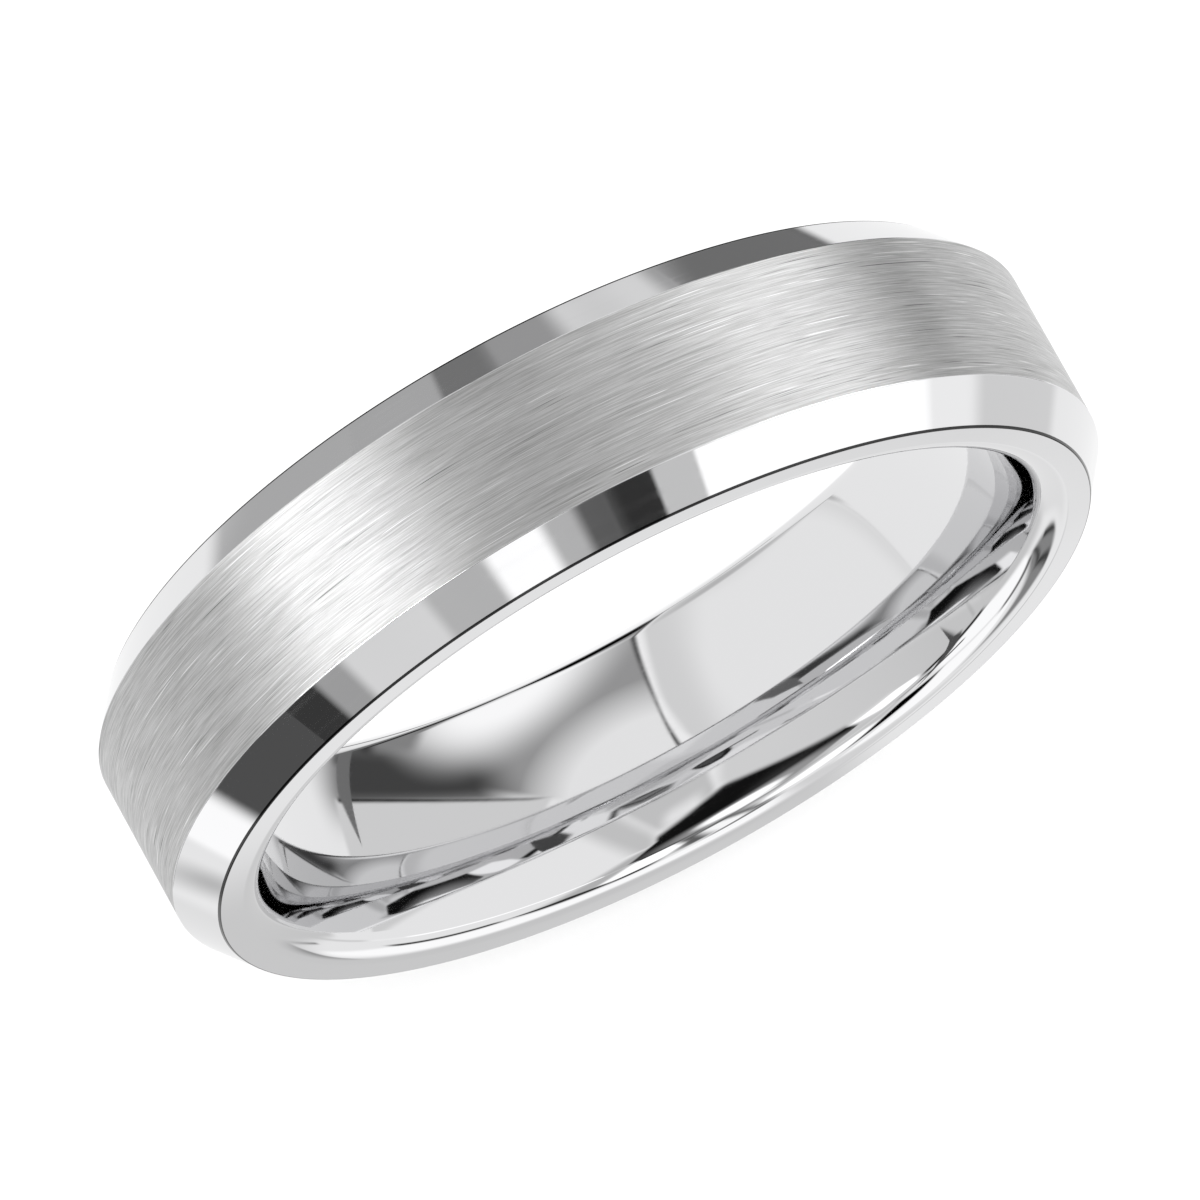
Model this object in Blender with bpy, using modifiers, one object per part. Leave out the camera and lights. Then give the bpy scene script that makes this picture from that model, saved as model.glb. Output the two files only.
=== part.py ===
"""A wedding band: one ring of metal, turned from a single blank.

The ring stands on its rim with its axis along Y and the origin at its centre.
Its section, going round from the middle of the outside: a satin-brushed
cylinder, a polished bevel down each side, a narrow flat side face, a rounded
inner corner, and a domed bore. The dome is one flat arc that meets the finger
only at its middle, so that the band slides on easily.
"""

import math

import bpy

# Driving dimensions, in metres.
BAND_WIDTH = 0.0060  # side face to side face, along the axis
OUTER_DIAMETER = 0.0250  # over the brushed centre
BORE_DIAMETER = 0.0201  # at the top of the dome, the narrowest place
CENTRE_WIDTH = 0.00396  # the brushed cylinder between the bevels
BEVEL_DROP = 0.00075  # how far each bevel falls towards the axis
DOME_RADIUS = 0.0080  # of the arc along the bore
CORNER_RADIUS = 0.00075  # between the dome and each side face

# How finely the round stretches are cut.
TURN_STEPS = 120
CORNER_STEPS = 5
DOME_STEPS = 10

METAL_COLOUR = (0.72, 0.72, 0.73, 1.0)
METAL_ROUGHNESS = 0.22


def remove_all_objects():
    for obj in list(bpy.data.objects):
        bpy.data.objects.remove(obj, do_unlink=True)


def part_collection(name):
    collection = bpy.data.collections.new(name)
    bpy.context.scene.collection.children.link(collection)
    return collection


def metal(name, colour, roughness):
    material = bpy.data.materials.new(name)
    material.use_nodes = True
    shader = material.node_tree.nodes["Principled BSDF"]
    shader.inputs["Base Color"].default_value = colour
    shader.inputs["Metallic"].default_value = 1.0
    shader.inputs["Roughness"].default_value = roughness
    return material


def outside_outline():
    """(radius, height) down the outside, from the top side face to the bottom one."""
    outer = OUTER_DIAMETER / 2
    rim = outer - BEVEL_DROP
    return [
        (rim, BAND_WIDTH / 2),
        (outer, CENTRE_WIDTH / 2),
        (outer, -CENTRE_WIDTH / 2),
        (rim, -BAND_WIDTH / 2),
    ]


def arc(centre, radius, start, end, steps):
    """Points of an arc that bulges towards the axis. Its angles are 0 at the side nearest the axis."""
    angles = [start + (end - start) * step / steps for step in range(steps + 1)]
    return [
        (centre[0] - radius * math.cos(angle), centre[1] + radius * math.sin(angle))
        for angle in angles
    ]


def bore_outline():
    """(radius, height) up the inside: corner, dome and corner, each tangent to the next."""
    corner_height = BAND_WIDTH / 2 - CORNER_RADIUS
    between_centres = DOME_RADIUS - CORNER_RADIUS
    meeting_angle = math.asin(corner_height / between_centres)
    dome_centre = (BORE_DIAMETER / 2 + DOME_RADIUS, 0.0)
    corner_centre = dome_centre[0] - between_centres * math.cos(meeting_angle)
    side = math.pi / 2
    low = arc((corner_centre, -corner_height), CORNER_RADIUS, -side, -meeting_angle, CORNER_STEPS)
    dome = arc(dome_centre, DOME_RADIUS, -meeting_angle, meeting_angle, DOME_STEPS)
    high = arc((corner_centre, corner_height), CORNER_RADIUS, meeting_angle, side, CORNER_STEPS)
    return low + dome[1:-1] + high


def turned_ring(name, outline, steps, material, collection):
    """The closed outline turned once round Z, with the ring's axis then laid along Y."""
    mesh = bpy.data.meshes.new(name)
    points = [(radius, 0.0, height) for radius, height in outline]
    edges = [(index, (index + 1) % len(points)) for index in range(len(points))]
    mesh.from_pydata(points, edges, [])
    mesh.materials.append(material)
    ring = bpy.data.objects.new(name, mesh)
    ring.rotation_euler = (math.pi / 2, 0.0, 0.0)
    collection.objects.link(ring)

    screw = ring.modifiers.new("Turn", "SCREW")
    screw.axis = "Z"
    screw.angle = 2 * math.pi
    screw.steps = steps
    screw.render_steps = steps
    screw.use_merge_vertices = True
    screw.merge_threshold = 0.00001
    screw.use_smooth_shade = True
    return ring


def main():
    remove_all_objects()
    collection = part_collection("wedding_band")
    band_metal = metal("band_metal", METAL_COLOUR, METAL_ROUGHNESS)
    outline = outside_outline() + bore_outline()
    turned_ring("band", outline, TURN_STEPS, band_metal, collection)


main()
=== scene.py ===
"""A wedding band standing on its rim on a pale table, in a soft studio.

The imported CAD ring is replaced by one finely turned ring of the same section.
Its centre is satin, brushed round the ring, and the bevels, side faces and
bore are polished. A plain world and one lamp light the table. Reflections see
a dome of white cards, a grey wall, black flags and soft lamps instead, each
given as a shape in directions seen from the ring.
"""

import math

import bmesh
import bpy
from mathutils import Matrix, Vector

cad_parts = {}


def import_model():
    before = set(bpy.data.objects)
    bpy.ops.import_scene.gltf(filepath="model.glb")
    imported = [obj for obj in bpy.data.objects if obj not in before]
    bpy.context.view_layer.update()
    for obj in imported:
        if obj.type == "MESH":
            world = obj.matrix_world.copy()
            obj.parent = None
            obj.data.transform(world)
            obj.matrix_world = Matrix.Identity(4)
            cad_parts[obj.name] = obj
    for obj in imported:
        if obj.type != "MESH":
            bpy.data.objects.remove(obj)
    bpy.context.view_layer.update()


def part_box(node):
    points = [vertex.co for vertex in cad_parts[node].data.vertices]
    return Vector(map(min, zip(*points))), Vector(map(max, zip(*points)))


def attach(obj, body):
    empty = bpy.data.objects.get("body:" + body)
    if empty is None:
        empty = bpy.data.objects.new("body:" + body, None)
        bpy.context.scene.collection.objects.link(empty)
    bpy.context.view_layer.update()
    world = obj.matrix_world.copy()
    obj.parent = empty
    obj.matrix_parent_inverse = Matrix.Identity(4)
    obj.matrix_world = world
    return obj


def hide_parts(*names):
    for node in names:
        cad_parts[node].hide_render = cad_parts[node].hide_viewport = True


MM = 0.001

# The ring's section, in millimetres, as in the CAD.
WIDTH = 6.0
OUTER_RADIUS = 12.5
CENTRE_WIDTH = 3.96
BEVEL_DROP = 0.75
BORE_RADIUS = 10.05
DOME_RADIUS = 8.0
CORNER_RADIUS = 0.75
CENTRE_EDGE_RADIUS = 0.05  # between the brushed centre and a bevel
SIDE_EDGE_RADIUS = 0.04  # between a bevel and its side face
# The dark line is painted: a near-black strip of metal beside the side edge stands in for a dark
# reflection there.
DARK_EDGE_REFLECTION_WIDTH = 0.045  # the dark line beside that edge, on the bevel
TURN_STEPS = 480
CENTRE_EDGE_STEPS = 4
SIDE_EDGE_STEPS = 5
CORNER_STEPS = 12
DOME_STEPS = 14

# The camera, fitted to the ring's edges in the photograph.
CAMERA_AZIMUTH = -27.268  # degrees, from -Y towards +X
CAMERA_ELEVATION = 68.065
CAMERA_DISTANCE = 0.5081
CAMERA_LENS = 634.34
CAMERA_SENSOR = 36
CAMERA_AIM_UP = 0.0000873  # the ring's centre is this far below the picture's centre

# The room's plain light, the lamp over the table, and the dome's size.
ROOM_LEVEL = 1.05
LAMP_POWER = 2.2
LAMP_SPREAD = 60  # degrees
DOME_SIZE = 5.0
DOME_SEGMENTS = 64

# The studio. Azimuths run from +Y towards +X and elevations up from the
# horizon, in degrees as seen from the ring. A level is a brightness, or
# (brightness, elevation, brightness, elevation) for one that changes with
# height. Later shapes lie in front of earlier ones.
BASE_LEVEL = 1.07
# They were laid out over maps of what each polished face mirrors in the
# photograph, so they stand for a real studio only roughly.
CARDS = [
    # kind, level, softness of the edge, shape
    # The table.
    ("card", 0.95, 6, [(0, -66), (60, -66), (120, -66), (180, -66), (-120, -66), (-60, -66)]),
    ("card", 1.25, 12, [(0, -8), (30, -10), (27, -40), (24, -64), (-8, -48)]),
    # The far wall, from the table up to the ceiling.
    ("card", (0.4, 50, 1.04, 65), 3,
     [(-6, -4), (62, -6), (66, 62), (100, 80), (-60, 80), (-40, 70)]),
    ("card", 0.07, 16, [(42, -8), (66, -8), (67, 48), (45, 40)]),
    ("glow", 1.3, 0.55, [(21, 25), (21, 18)]),
    ("card", 0.3, 8, [(-8, 0), (-8, 22), (5, 20), (14, 8), (15, 0)]),
    ("card", 0.0, 4, [(-8, 0), (-8, 14), (7, 15), (15, 5), (16, 0)]),
    ("card", 0.0, 4, [(13, -1), (16, 3), (30, 6), (47, 5), (46, 1), (28, -2)]),
    ("card", 0.3, 5, [(24, 4), (46, 4), (46, 16), (38, 16)]),
    # The white card on the left, with its bright rim and the gap beside it.
    ("card", 0.12, 1.5,
     [(-2.5, -3), (-9.5, 36), (-15, 60), (-50, 77), (-85, 75), (-95, -8), (-45, -6)]),
    ("card", 1.15, 1.5,
     [(-4, -3), (-11, 36), (-17, 59), (-50, 75.5), (-85, 73), (-95, -8), (-45, -6)]),
    ("card", 0.85, 3,
     [(-5.5, -3), (-13, 36), (-19, 57), (-52, 72.5), (-85, 70), (-95, -8), (-45, -6)]),
    ("card", 1.05, 16, [(-13, -3), (-23, 36), (-36, 56), (-85, 66), (-95, -8), (-45, -6)]),
    ("card", 0.62, 16, [(-10, -4), (-12, 24), (-30, 20), (-36, -4)]),
    # The panel on the right.
    ("card", 0.82, 2, [(61, -7), (63, 60), (90, 50), (95, -7)]),
    ("card", 0.02, 1.5, [(60.5, -6), (61.8, -6), (64, 56), (63.2, 58)]),
    # The white wall behind the camera.
    ("card", 0.72, 6, [(92, 65), (157, 65), (158, 74), (95, 76)]),
    ("card", 0.6, 8, [(151, -2), (164, 0), (164, 64), (151, 62)]),
    # The ceiling behind the camera.
    ("card", 0.72, 3,
     [(98, 78), (160, 75), (-160, 75), (-130, 73), (-95, 76), (0, 87), (90, 84)]),
    ("card", 1.05, 5, [(165, 75), (-150, 74), (-135, 77), (170, 80)]),
    # Light strips beside the black card.
    ("card", (0.75, 0, 0.85, 60), 5, [(-130, 2), (-93, -30), (-92, 60), (-100, 72), (-125, 72)]),
    # The black card, and the lamp in its opening.
    ("card", 0.008, 2, [(157.5, 73), (-124.5, 71), (-108.5, 36), (-125, 27), (174, 33), (161, 38)]),
    ("glow", 0.4, 0.4, [(-157, 42), (24, 19)]),
    ("glow", 1.5, 0.3, [(-160, 46), (11, 12)]),
    # Small lamps and gaps under it.
    ("card", 0.75, 8, [(-150, 2), (-150, 30), (-128, 30), (-128, 4)]),
    ("card", 0.15, 6, [(174, 4), (174, 33), (-170, 33), (-170, 2)]),
    ("card", 1.5, 3, [(161, 8), (163, 33), (166, 36), (175, 35), (176.5, 20), (170, 4), (164, 3)]),
    ("card", 1.3, 3.5, [(179, 2), (180.5, 28), (186, 27), (186, 8), (183, 0)]),
    ("glow", 1.5, 0.22, [(-159, 9), (12, 10)]),
    ("card", 1.5, 3, [(-128, 17), (-118, 30), (-109, 35), (-104.5, 20), (-112, 10), (-122, 6)]),
    # The table behind the camera.
    ("card", 1.33, 6,
     [(132, -20), (150, -3), (178, -4), (186, -8), (178, -48), (150, -50), (130, -42)]),
    ("card", 1.33, 4, [(-172, -38), (-172, -14), (-143, -14), (-143, -40)]),
    ("card", 1.33, 4, [(-139, -34), (-139, -10), (-124, 0), (-93, -32), (-112, -46), (-126, -46)]),
    ("card", 0.88, 5, [(187, -6), (192, -8), (176, -56), (160, -56)]),
    # Dark gaps along the table's far edge.
    ("card", 0.03, 4, [(128, -17), (144, 2), (148, -1), (133, -19)]),
    ("card", 0.03, 4, [(146, 2), (156, 10), (163, 7), (165, 1), (150, 0)]),
    ("card", 0.03, 4, [(163, 4), (172, 7), (174, 15), (178, 12), (178, 0), (165, -2)]),
    ("card", 0.15, 4, [(177, 0), (187, 2), (187, -5), (178, -4)]),
    ("card", 0.0, 4, [(187, 4), (197, -4), (210, 1), (218, 1), (219, -13), (196, -14)]),
    ("card", 0.02, 3.5, [(-124, 3), (-119, 6), (-92, -30), (-93, -34)]),
    # Dark patches on the table beside the ring: painted shadow and reflection of the ring there.
    ("card", 0.02, 3,
     [(121, -52), (132, -47), (146, -46), (156, -53), (158, -60), (155, -67), (138, -65), (126, -58)]),
    ("card", 0.11, 3, [(126, -54), (140, -50), (150, -54), (155, -64), (142, -64)]),
    ("card", 0.1, 3, [(114, -36), (117, -36), (125, -52), (121, -52)]),
    ("card", 0.3, 6, [(-178, -60), (-172, -44), (-135, -46), (-122, -50), (-135, -62), (-160, -65)]),
    ("card", 0.03, 3, [(-179, -60), (-172, -61), (-150, -54), (-150, -51)]),
    ("card", 0.08, 3, [(-150, -54), (-150, -51), (-123, -50), (-128, -53)]),
    ("card", 0.05, 3, [(-168, -63), (-158, -65), (-133, -60), (-135, -57), (-150, -61)]),
    ("card", 0.15, 4, [(-144, -35), (-139, -34), (-123, -47), (-127, -50)]),
]
# Strips that lie where a bevel mirrors the camera's view, set to look
# like the photograph: which bevel, from and to as turns round the ring in
# degrees from its top towards +X, brightness, and softness of the edge.
BEVEL_STRIPS = [
    ("near", 7, 38, 1.45, 1.5),
    ("near", 2, 6, 0.72, 1.2),
    ("near", -4, 1, 0.04, 1.2),
    ("near", -8, -5, 0.12, 4),
    ("near", -12, -9, 0.6, 3),
    ("near", -19, -13, 1.4, 3),
    ("near", -27, -20, 0.6, 3),
    ("near", -39, -28, 0.9, 3),
    ("near", -43, -40, 0.45, 3),
    ("near", -53, -44, 0.05, 2),
    ("near", 39, 44, 1.15, 4),
    ("near", 48, 62, 0.77, 5),
    ("far", -34, -15, 0.5, 1),
    ("far", -14, -8, 0.22, 1),
    ("far", -6, 1, 0.4, 3),
    ("far", 2, 13, 0.85, 3),
    ("far", 14, 19, 0.45, 3),
    ("far", 20, 34, 0.18, 3),
]
STRIP_WIDTH = 3
STRIP_PART = 12  # about the turn that one straight part of a strip spans, in degrees
# Flags and strip lamps in the ring's own plane, which shape the brushed centre.
PLANE_CARDS = [
    ("line", 0.0, 3, [(-88.5, -64), (-88.5, -6)], 7),
    ("line", 6.0, 3, [(-88.5, 11), (-88.5, 57)], 7),
    ("line", 12.5, 3, [(-88.5, 20), (-88.5, 46)], 7),
    ("line", 0.0, 3, [(-88.5, 61), (85, 88)], 7),
    ("line", 3.5, 3, [(85, 11), (85, 61)], 9),
    ("line", 7.5, 3, [(85, 21), (85, 49)], 9),
    ("line", 0.0, 3, [(85, 2), (85, -34)], 9),
]
# Painted shade on the table beside the ring in reflections: shade near the
# ring's foot and a darker table further off. (level, softness, corners), in
# millimetres from the ring's foot, +Y behind it. It shows only in reflections,
# over the studio's own table.
PAINTED_TABLE_SHADE = [
    (0.2, 5, [(27, 40), (38, 27), (200, 60), (200, 200), (56, 130)]),
    (0.52, 8, [(-20, 36), (-28, 34), (-48, 135), (-30, 140)]),
    (0.1, 8, [(-38, -14), (-33, -26), (-120, -150), (-200, -150), (-200, -20)]),
    (0.75, 3, [(-13, -9), (-13, -4), (-8, -2.5), (6, -2.5), (6, -5), (-6, -8)]),
    (0.62, 3, [(-19, -6), (-19, -3), (-22, -5), (-22, -8)]),
]
FLOOR_HALF = 0.8
SHADES_HALF = 0.2
TABLE_GREY = 0.7

# The metal. A scale is how often a mark repeats in a metre, round the ring and
# across it, and a bump's depth is in metres.
BUMP_DEPTH = 0.000001
POLISH_LEVEL = 0.72
# The near-black colour of that painted dark reflection beside the side edge.
DARK_EDGE_REFLECTION_LEVEL = 0.04
POLISH_MARKS = (150, 9000)
SATIN_GRAIN = (600, 42000)
SATIN_SCRATCHES = (420, 24000)
SATIN_TONES = (0.34, 0.72)
SCRATCH_TONE = 0.3  # how much a scratch darkens or brightens the metal

ROUND_OFF = 1e-6  # mm


def direction(azimuth, elevation):
    a, e = math.radians(azimuth), math.radians(elevation)
    return Vector((math.sin(a) * math.cos(e), math.cos(a) * math.cos(e), math.sin(e)))


class Nodes:
    """A node tree that is filled by short calls, each giving back an output socket."""

    def __init__(self, tree):
        self.tree = tree
        tree.nodes.clear()

    def add(self, kind, inputs=None, **settings):
        node = self.tree.nodes.new(kind)
        for name, value in settings.items():
            setattr(node, name, value)
        for key, value in (inputs or {}).items():
            if isinstance(value, bpy.types.NodeSocket):
                self.tree.links.new(value, node.inputs[key])
            else:
                node.inputs[key].default_value = value
        return node

    def math(self, operation, *values, clamp=False):
        inputs = dict(enumerate(values))
        return self.add(
            "ShaderNodeMath", inputs, operation=operation, use_clamp=clamp
        ).outputs[0]

    def dot(self, vector, constant):
        node = self.add(
            "ShaderNodeVectorMath", {0: vector, 1: constant}, operation="DOT_PRODUCT"
        )
        return node.outputs["Value"]

    def ramp(self, value, low, high, to_low=0.0, to_high=1.0, kind="SMOOTHSTEP"):
        inputs = {0: value, 1: low, 2: high, 3: to_low, 4: to_high}
        return self.add(
            "ShaderNodeMapRange", inputs, interpolation_type=kind
        ).outputs[0]

    def mix(self, factor, a, b):
        return self.add("ShaderNodeMix", {0: factor, 2: a, 3: b}).outputs[0]

    def streaks(self, place, scales, detail, roughness=0.5):
        """Noise with its own scale round the ring and across it."""
        along, across = scales
        stretched = self.add(
            "ShaderNodeMapping", {"Vector": place, "Scale": (along, across, along)}
        ).outputs[0]
        inputs = {"Vector": stretched, "Scale": 1.0, "Detail": detail, "Roughness": roughness}
        return self.add("ShaderNodeTexNoise", inputs).outputs[0]


def level_of(nodes, height, level):
    if not isinstance(level, tuple):
        return level
    low, from_low, high, from_high = level
    sines = [math.sin(math.radians(x)) for x in (from_low, from_high)]
    return nodes.ramp(height, sines[0], sines[1], low, high, "LINEAR")


def card_mask(nodes, view, points, softness):
    """1 inside the shape with these corners, given as directions. No corner points inwards."""
    middle = sum(points, Vector())
    half = math.radians(softness) / 2
    mask = None
    for a, b in zip(points, points[1:] + points[:1]):
        normal = a.cross(b).normalized()
        if normal.dot(middle) < 0:
            normal.negate()
        side = nodes.ramp(nodes.dot(view, normal), -half, half)
        mask = side if mask is None else nodes.math("MULTIPLY", mask, side)
    return mask


def line_mask(nodes, view, points, softness, width):
    """1 along a line through these directions."""
    half, over = math.radians(width) / 2, math.radians(softness)
    mask = None
    for a, b in zip(points, points[1:]):
        normal = a.cross(b).normalized()
        ahead = (b - a).normalized() * over / 2
        start, end = a - ahead, b + ahead
        side = normal * half
        corners = [start + side, end + side, end - side, start - side]
        part = card_mask(nodes, view, corners, softness)
        mask = part if mask is None else nodes.math("MAXIMUM", mask, part)
    return mask


def glow_mask(nodes, view, centre, half_size, softness):
    """1 in the middle of a soft round lamp, and 0 outside it."""
    middle = direction(*centre)
    across = Vector((0, 0, 1)).cross(middle).normalized()
    upward = middle.cross(across)
    sizes = [math.sin(math.radians(size)) for size in half_size]
    u = nodes.dot(view, across / sizes[0])
    v = nodes.dot(view, upward / sizes[1])
    square = nodes.math("ADD", nodes.math("MULTIPLY", u, u), nodes.math("MULTIPLY", v, v))
    disc = nodes.ramp(nodes.math("SQRT", square), 1 + softness, 1 - softness, 0.0, 1.0)
    front = nodes.ramp(nodes.dot(view, middle), 0.0, 0.1)
    return nodes.math("MULTIPLY", disc, front)


def studio_light(nodes, view, cards):
    """The brightness of the studio in direction view, from these cards."""
    height = nodes.dot(view, (0, 0, 1))
    value = BASE_LEVEL
    for kind, level, softness, shape, *width in cards:
        if kind == "glow":
            mask = glow_mask(nodes, view, *shape, softness)
        elif kind == "line":
            mask = line_mask(nodes, view, [direction(*p) for p in shape], softness, *width)
        else:
            mask = card_mask(nodes, view, [direction(*p) for p in shape], softness)
        value = nodes.mix(mask, value, level_of(nodes, height, level))
    return value


def reach(card):
    """Directions over the whole of a card, to tell which zones of the dome it lies in."""
    kind, _, _, shape, *_ = card
    if kind == "glow":
        middle, sizes = shape
        corners = [
            (middle[0] + x * sizes[0] * 1.5, middle[1] + y * sizes[1] * 1.5)
            for x in (-1, 0, 1)
            for y in (-1, 0, 1)
        ]
    else:
        corners = shape
    points = [direction(*corner) for corner in corners]
    found = []
    for a in points:
        for b in points:
            for part in range(9):
                found.append(a + (b - a) * part / 8)
    return found


# The dome's zones: a name, and the sign of y and z of a direction in it, 0 for either.
ZONES = [("front", 1, 0), ("back_high", -1, 1), ("back_low", -1, -1)]
ZONE_MARGIN = 0.08


def in_zone(point, zone):
    _, y_sign, z_sign = zone
    y_in = point.y * y_sign > -ZONE_MARGIN or y_sign == 0
    z_in = point.z * z_sign > -ZONE_MARGIN or z_sign == 0
    return y_in and z_in


def bevel_cards():
    """The bevel strips as cards of kind "line", from the section and the camera's place."""
    eye = camera_axes()[3]
    tilt = math.atan2(BEVEL_DROP, (WIDTH - CENTRE_WIDTH) / 2)
    radius = (OUTER_RADIUS - BEVEL_DROP / 2) * MM
    out = (WIDTH + CENTRE_WIDTH) / 4 * MM
    cards = []
    for bevel, start, end, level, softness in BEVEL_STRIPS:
        y_sign = -1 if bevel == "near" else 1
        count = max(1, round((end - start) / STRIP_PART))
        corners = []
        for step in range(count + 1):
            turn = math.radians(start + (end - start) * step / count)
            outward = Vector((math.sin(turn), 0, math.cos(turn)))
            point = outward * radius + Vector((0, y_sign * out, 0))
            normal = outward * math.cos(tilt) + Vector((0, y_sign * math.sin(tilt), 0))
            seen = -(eye - point).normalized().reflect(normal)
            azimuth = math.degrees(math.atan2(seen.x, seen.y))
            corners.append((azimuth, math.degrees(math.asin(seen.z))))
        cards.append(("line", level, softness, corners, STRIP_WIDTH))
    return cards


def build_studio():
    """A plain pale world, and a dome of cards and lamps that only reflections see."""
    world = bpy.data.worlds.new("pale_room")
    bpy.context.scene.world = world
    world.use_nodes = True
    nodes = Nodes(world.node_tree)
    background = nodes.add(
        "ShaderNodeBackground", {"Color": (1, 1, 1, 1), "Strength": ROOM_LEVEL}
    )
    nodes.add("ShaderNodeOutputWorld", {"Surface": background.outputs[0]})

    mesh = bpy.data.meshes.new("studio_dome")
    shape = bmesh.new()
    bmesh.ops.create_uvsphere(
        shape, u_segments=DOME_SEGMENTS, v_segments=DOME_SEGMENTS // 2, radius=DOME_SIZE
    )
    shape.to_mesh(mesh)
    shape.free()
    every_card = CARDS + bevel_cards() + PLANE_CARDS
    for zone in ZONES:
        material = bpy.data.materials.new("studio_" + zone[0])
        material.use_nodes = True
        material.cycles.emission_sampling = "NONE"
        nodes = Nodes(material.node_tree)
        place = nodes.add("ShaderNodeTexCoord").outputs["Object"]
        view = nodes.add(
            "ShaderNodeVectorMath", {0: place}, operation="NORMALIZE"
        ).outputs[0]
        cards = [card for card in every_card if any(in_zone(p, zone) for p in reach(card))]
        value = studio_light(nodes, view, cards)
        emission = nodes.add("ShaderNodeEmission", {"Color": value, "Strength": 1.0})
        nodes.add("ShaderNodeOutputMaterial", {"Surface": emission.outputs[0]})
        mesh.materials.append(material)
    for face in mesh.polygons:
        centre = face.center
        face.material_index = 0 if centre.y > 0 else 1 if centre.z > 0 else 2
    only_reflections_see(stage_object("studio_dome", mesh))


def stage_object(name, mesh):
    stage = bpy.data.objects.new(name, mesh)
    bpy.context.scene.collection.objects.link(stage)
    return stage


def only_reflections_see(stage):
    for ray in ("camera", "diffuse", "transmission", "volume_scatter", "shadow"):
        setattr(stage, "visible_" + ray, False)


def camera_axes():
    """The camera's right, up and back directions, and its place."""
    a, e = math.radians(CAMERA_AZIMUTH), math.radians(CAMERA_ELEVATION)
    back = Vector((math.sin(a) * math.cos(e), -math.cos(a) * math.cos(e), math.sin(e)))
    right = Vector((0, 0, 1)).cross(back).normalized()
    up = back.cross(right)
    return right, up, back, up * CAMERA_AIM_UP + back * CAMERA_DISTANCE


def build_camera():
    right, up, back, place = camera_axes()
    camera = bpy.data.objects.new("camera", bpy.data.cameras.new("camera"))
    bpy.context.scene.collection.objects.link(camera)
    axes = Matrix((right, up, back)).transposed().to_4x4()
    camera.matrix_world = Matrix.Translation(place) @ axes
    camera.data.sensor_width = CAMERA_SENSOR
    camera.data.lens = CAMERA_LENS
    camera.data.clip_start = 0.01
    camera.data.clip_end = 10
    camera.data.dof.use_dof = False
    bpy.context.scene.camera = camera


def square_sheet(name, half, height):
    mesh = bpy.data.meshes.new(name)
    corners = [(-half, -half), (half, -half), (half, half), (-half, half)]
    mesh.from_pydata([(x, y, height) for x, y in corners], [], [(0, 1, 2, 3)])
    return mesh


def build_floor(height):
    mesh = square_sheet("floor", FLOOR_HALF, height)
    stage_object("floor", mesh).visible_glossy = False
    material = bpy.data.materials.new("pale_table")
    material.use_nodes = True
    shader = material.node_tree.nodes["Principled BSDF"]
    shader.inputs["Base Color"].default_value = (TABLE_GREY, TABLE_GREY, TABLE_GREY, 1)
    shader.inputs["Roughness"].default_value = 0.9
    shader.inputs["Specular IOR Level"].default_value = 0.0
    mesh.materials.append(material)


def build_painted_table_shade(height):
    """A sheet in the floor's plane that only reflections see. It paints shade onto the dome's table.
    """
    mesh = square_sheet("painted_table_shade", SHADES_HALF, height)
    only_reflections_see(stage_object("painted_table_shade", mesh))
    material = bpy.data.materials.new("painted_table_shade")
    material.use_nodes = True
    material.cycles.emission_sampling = "NONE"
    nodes = Nodes(material.node_tree)
    place = nodes.add("ShaderNodeTexCoord").outputs["Object"]
    # glow holds the painted shade's level; clear lets the studio's table show where no shade is
    # painted.
    glow, clear = 0.0, 1.0
    for level, softness, shape in PAINTED_TABLE_SHADE:
        points = [Vector((x, y, 0)) * MM for x, y in shape]
        middle = sum(points, Vector()) / len(points)
        half = softness * MM / 2
        mask = None
        for a, b in zip(points, points[1:] + points[:1]):
            normal = Vector((0, 0, 1)).cross(b - a).normalized()
            if normal.dot(middle - a) < 0:
                normal.negate()
            start = normal.dot(a)
            side = nodes.ramp(nodes.dot(place, normal), start - half, start + half)
            mask = side if mask is None else nodes.math("MULTIPLY", mask, side)
        glow = nodes.mix(mask, glow, level)
        clear = nodes.mix(mask, clear, 0.0)
    emission = nodes.add("ShaderNodeEmission", {"Color": glow, "Strength": 1.0})
    through = nodes.add("ShaderNodeBsdfTransparent", {"Color": clear})
    both = nodes.add("ShaderNodeAddShader", {0: emission.outputs[0], 1: through.outputs[0]})
    nodes.add("ShaderNodeOutputMaterial", {"Surface": both.outputs[0]})
    mesh.materials.append(material)


def build_lamp():
    """One broad lamp from above for the table. It gives the table's white and no hard shadow."""
    lamp = bpy.data.lights.new("table_lamp", "SUN")
    lamp.energy = LAMP_POWER
    lamp.angle = math.radians(LAMP_SPREAD)
    lamp.use_shadow = False
    holder = bpy.data.objects.new("table_lamp", lamp)
    holder.visible_glossy = False
    bpy.context.scene.collection.objects.link(holder)


def arc(centre, radius, start, end, steps):
    """(r, h, normal r, normal h) along an arc, from the normal's start angle to its end angle."""
    points = []
    for step in range(steps + 1):
        angle = math.radians(start + (end - start) * step / steps)
        nr, nh = math.cos(angle), math.sin(angle)
        points.append((centre[0] + radius * nr, centre[1] + radius * nh, nr, nh))
    return points


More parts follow.
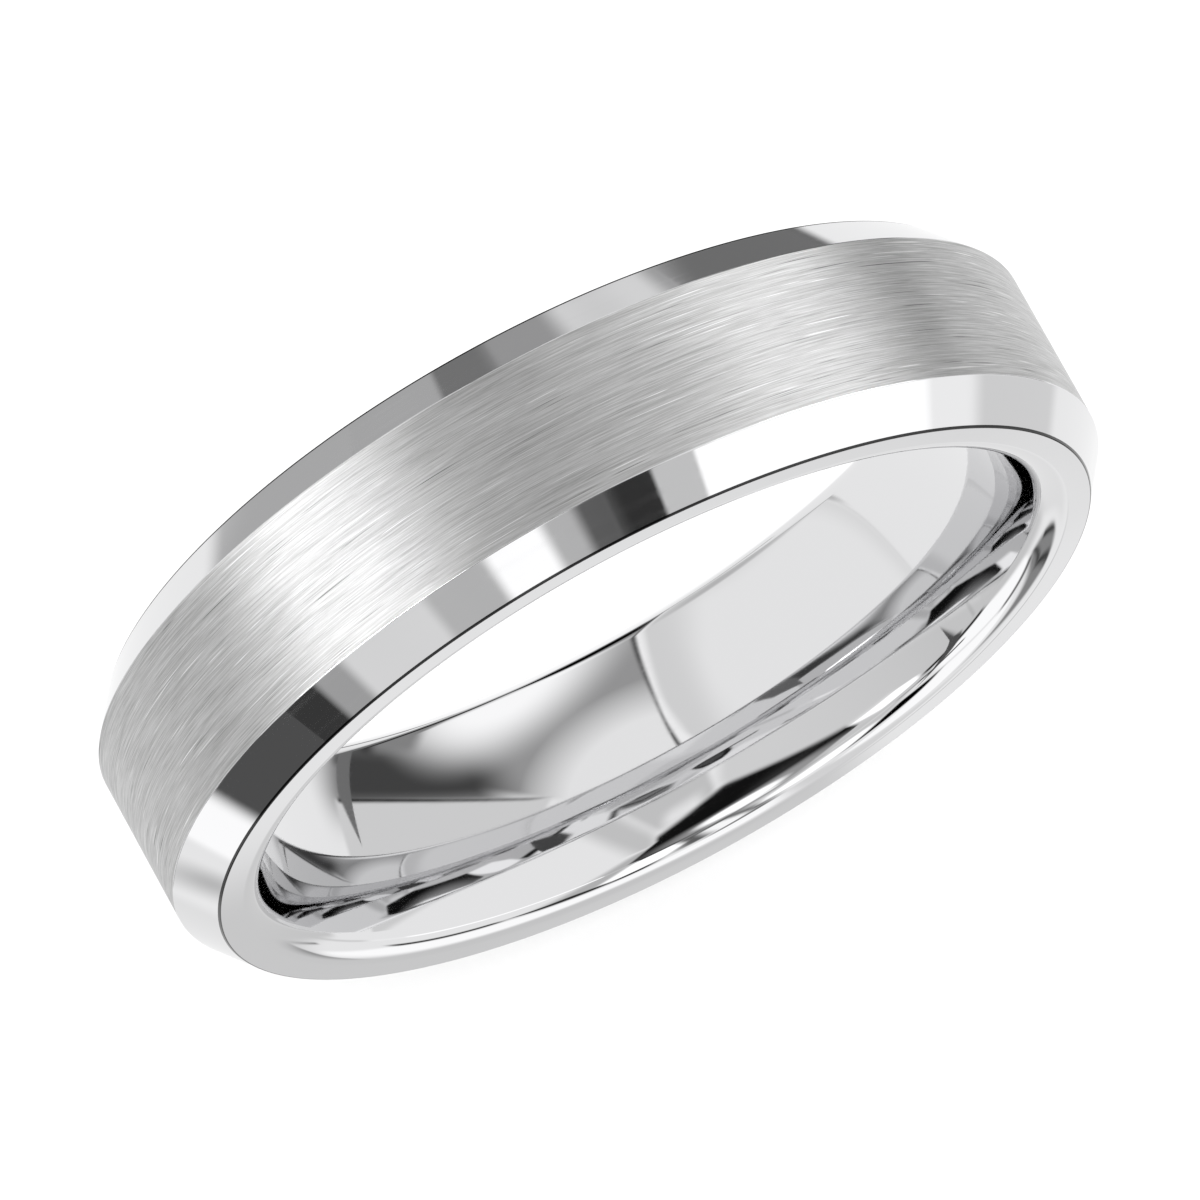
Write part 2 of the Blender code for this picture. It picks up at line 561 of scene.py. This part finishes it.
def half_section():
    """Points and normals from the middle of the brushed centre to the middle of the bore.

    They pass over the side with positive h.
    """
    rim = OUTER_RADIUS - BEVEL_DROP
    side, shoulder = WIDTH / 2, CENTRE_WIDTH / 2
    slope = math.degrees(math.atan2(BEVEL_DROP, side - shoulder))
    tilt = math.radians(slope)
    points = [(OUTER_RADIUS, shoulder * part, 1.0, 0.0) for part in (0.0, 0.25, 0.5, 0.75)]
    # Edge between the centre and the bevel.
    tangent = CENTRE_EDGE_RADIUS * math.tan(tilt / 2)
    centre = (OUTER_RADIUS - CENTRE_EDGE_RADIUS, shoulder - tangent)
    first = arc(centre, CENTRE_EDGE_RADIUS, 0, slope, CENTRE_EDGE_STEPS)
    # Edge between the bevel and the side face.
    turn = math.radians(90 - slope)
    tangent = SIDE_EDGE_RADIUS * math.tan(turn / 2)
    centre = (rim - tangent, side - SIDE_EDGE_RADIUS)
    second = arc(centre, SIDE_EDGE_RADIUS, slope, 90, SIDE_EDGE_STEPS)
    a, b = first[-1], second[0]
    line = 1 - DARK_EDGE_REFLECTION_WIDTH / math.hypot(b[0] - a[0], b[1] - a[1])
    middle = [
        tuple(a[i] + (b[i] - a[i]) * part for i in range(4))
        for part in (1 / 3, 2 / 3, line)
    ]
    points += first + middle + second
    # The rounded inner corner and the dome, tangent to each other.
    between = DOME_RADIUS - CORNER_RADIUS
    meeting = math.degrees(math.asin((side - CORNER_RADIUS) / between))
    dome_centre = BORE_RADIUS + DOME_RADIUS
    corner_centre = dome_centre - between * math.cos(math.radians(meeting))
    points.append(((points[-1][0] + corner_centre) / 2, side, 0.0, 1.0))
    centre = (corner_centre, side - CORNER_RADIUS)
    points += arc(centre, CORNER_RADIUS, 90, 180 - meeting, CORNER_STEPS)
    points += arc((dome_centre, 0.0), DOME_RADIUS, 180 - meeting, 180, DOME_STEPS)[1:]
    return points


def build_ring(satin, polish, painted_dark_edge):
    half = half_section()
    mirrored = [(r, -h, nr, -nh) for r, h, nr, nh in reversed(half[1:-1])]
    section = half + mirrored
    count = len(section)
    rim = OUTER_RADIUS - BEVEL_DROP
    tilt = math.atan2(BEVEL_DROP, (WIDTH - CENTRE_WIDTH) / 2)
    edge_in = SIDE_EDGE_RADIUS * math.tan((math.pi / 2 - tilt) / 2)
    edge_out = WIDTH / 2 - SIDE_EDGE_RADIUS * (1 - math.sin(tilt))
    edge_out -= DARK_EDGE_REFLECTION_WIDTH * math.cos(tilt)
    points, normals, faces, slots = [], [], [], []
    for step in range(TURN_STEPS):
        angle = 2 * math.pi * step / TURN_STEPS
        c, s = math.cos(angle), math.sin(angle)
        for r, h, nr, nh in section:
            points.append((r * s * MM, -h * MM, r * c * MM))
            normals.append((nr * s, -nh, nr * c))
    for step in range(TURN_STEPS):
        here, there = step * count, (step + 1) % TURN_STEPS * count
        for i in range(count):
            j = (i + 1) % count
            faces.append((here + i, here + j, there + j, there + i))
            brushed = all(
                section[k][0] > OUTER_RADIUS - ROUND_OFF
                and abs(section[k][1]) <= CENTRE_WIDTH / 2
                for k in (i, j)
            )
            # Faces of the painted dark reflection, a near-black strip on the bevel beside the side
            # edge.
            on_painted_dark_edge = all(
                section[k][0] > rim - edge_in - ROUND_OFF
                and abs(section[k][1]) > edge_out - ROUND_OFF
                for k in (i, j)
            )
            slots.append(0 if brushed else 2 if on_painted_dark_edge else 1)
    mesh = bpy.data.meshes.new("wedding_band")
    mesh.from_pydata(points, [], faces)
    mesh.materials.append(satin)
    mesh.materials.append(polish)
    mesh.materials.append(painted_dark_edge)
    mesh.polygons.foreach_set("material_index", slots)
    mesh.shade_smooth()
    mesh.normals_split_custom_set_from_vertices(normals)
    mesh.update()
    ring = bpy.data.objects.new("wedding_band", mesh)
    bpy.context.scene.collection.objects.link(ring)
    return ring


def build_polish(name, level):
    material = bpy.data.materials.new(name)
    material.use_nodes = True
    nodes = Nodes(material.node_tree)
    place = nodes.add("ShaderNodeTexCoord").outputs["Object"]
    marks = nodes.streaks(place, POLISH_MARKS, 3)
    rough = nodes.ramp(marks, 0.3, 0.7, 0.02, 0.05)
    bump = nodes.add(
        "ShaderNodeBump", {"Strength": 0.05, "Distance": BUMP_DEPTH, "Height": marks}
    ).outputs[0]
    shader = nodes.add(
        "ShaderNodeBsdfPrincipled",
        {
            "Base Color": (level, level, level * 1.01, 1),
            "Metallic": 1.0,
            "Roughness": rough,
            "Normal": bump,
        },
    )
    nodes.add("ShaderNodeOutputMaterial", {"Surface": shader.outputs[0]})
    return material


def build_satin():
    material = bpy.data.materials.new("brushed_metal")
    material.use_nodes = True
    nodes = Nodes(material.node_tree)
    place = nodes.add("ShaderNodeTexCoord").outputs["Object"]
    grain = nodes.streaks(place, SATIN_GRAIN, 5, 0.7)
    scratches = nodes.streaks(place, SATIN_SCRATCHES, 1)
    tone = nodes.ramp(grain, 0.3, 0.7, *SATIN_TONES, "LINEAR")
    dark = nodes.ramp(scratches, 0.68, 0.78, 0.0, SCRATCH_TONE)
    bright = nodes.ramp(scratches, 0.33, 0.24, 0.0, SCRATCH_TONE)
    tone = nodes.math("SUBTRACT", tone, dark)
    tone = nodes.math("ADD", tone, bright, clamp=True)
    rough = nodes.ramp(grain, 0.3, 0.7, 0.46, 0.36, "LINEAR")
    bump = nodes.add(
        "ShaderNodeBump", {"Strength": 0.2, "Distance": BUMP_DEPTH, "Height": grain}
    ).outputs[0]
    tangent = nodes.add("ShaderNodeTangent", direction_type="RADIAL", axis="Y").outputs[0]
    shader = nodes.add(
        "ShaderNodeBsdfPrincipled",
        {
            "Base Color": tone,
            "Metallic": 1.0,
            "Roughness": rough,
            "Normal": bump,
            "Anisotropic": 0.86,
            "Anisotropic Rotation": 0.25,
            "Tangent": tangent,
        },
    )
    nodes.add("ShaderNodeOutputMaterial", {"Surface": shader.outputs[0]})
    return material


def main():
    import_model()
    bpy.context.scene.view_settings.view_transform = "Standard"
    build_camera()
    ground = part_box("band")[0][2]
    build_floor(ground)
    build_painted_table_shade(ground)
    build_lamp()
    build_studio()
    polish = build_polish("polished_metal", POLISH_LEVEL)
    # The painted dark reflection beside each side edge is polished metal coloured near black.
    painted_dark_edge = build_polish("painted_dark_edge", DARK_EDGE_REFLECTION_LEVEL)
    ring = build_ring(build_satin(), polish, painted_dark_edge)
    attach(ring, "root")
    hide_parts("band")


main()
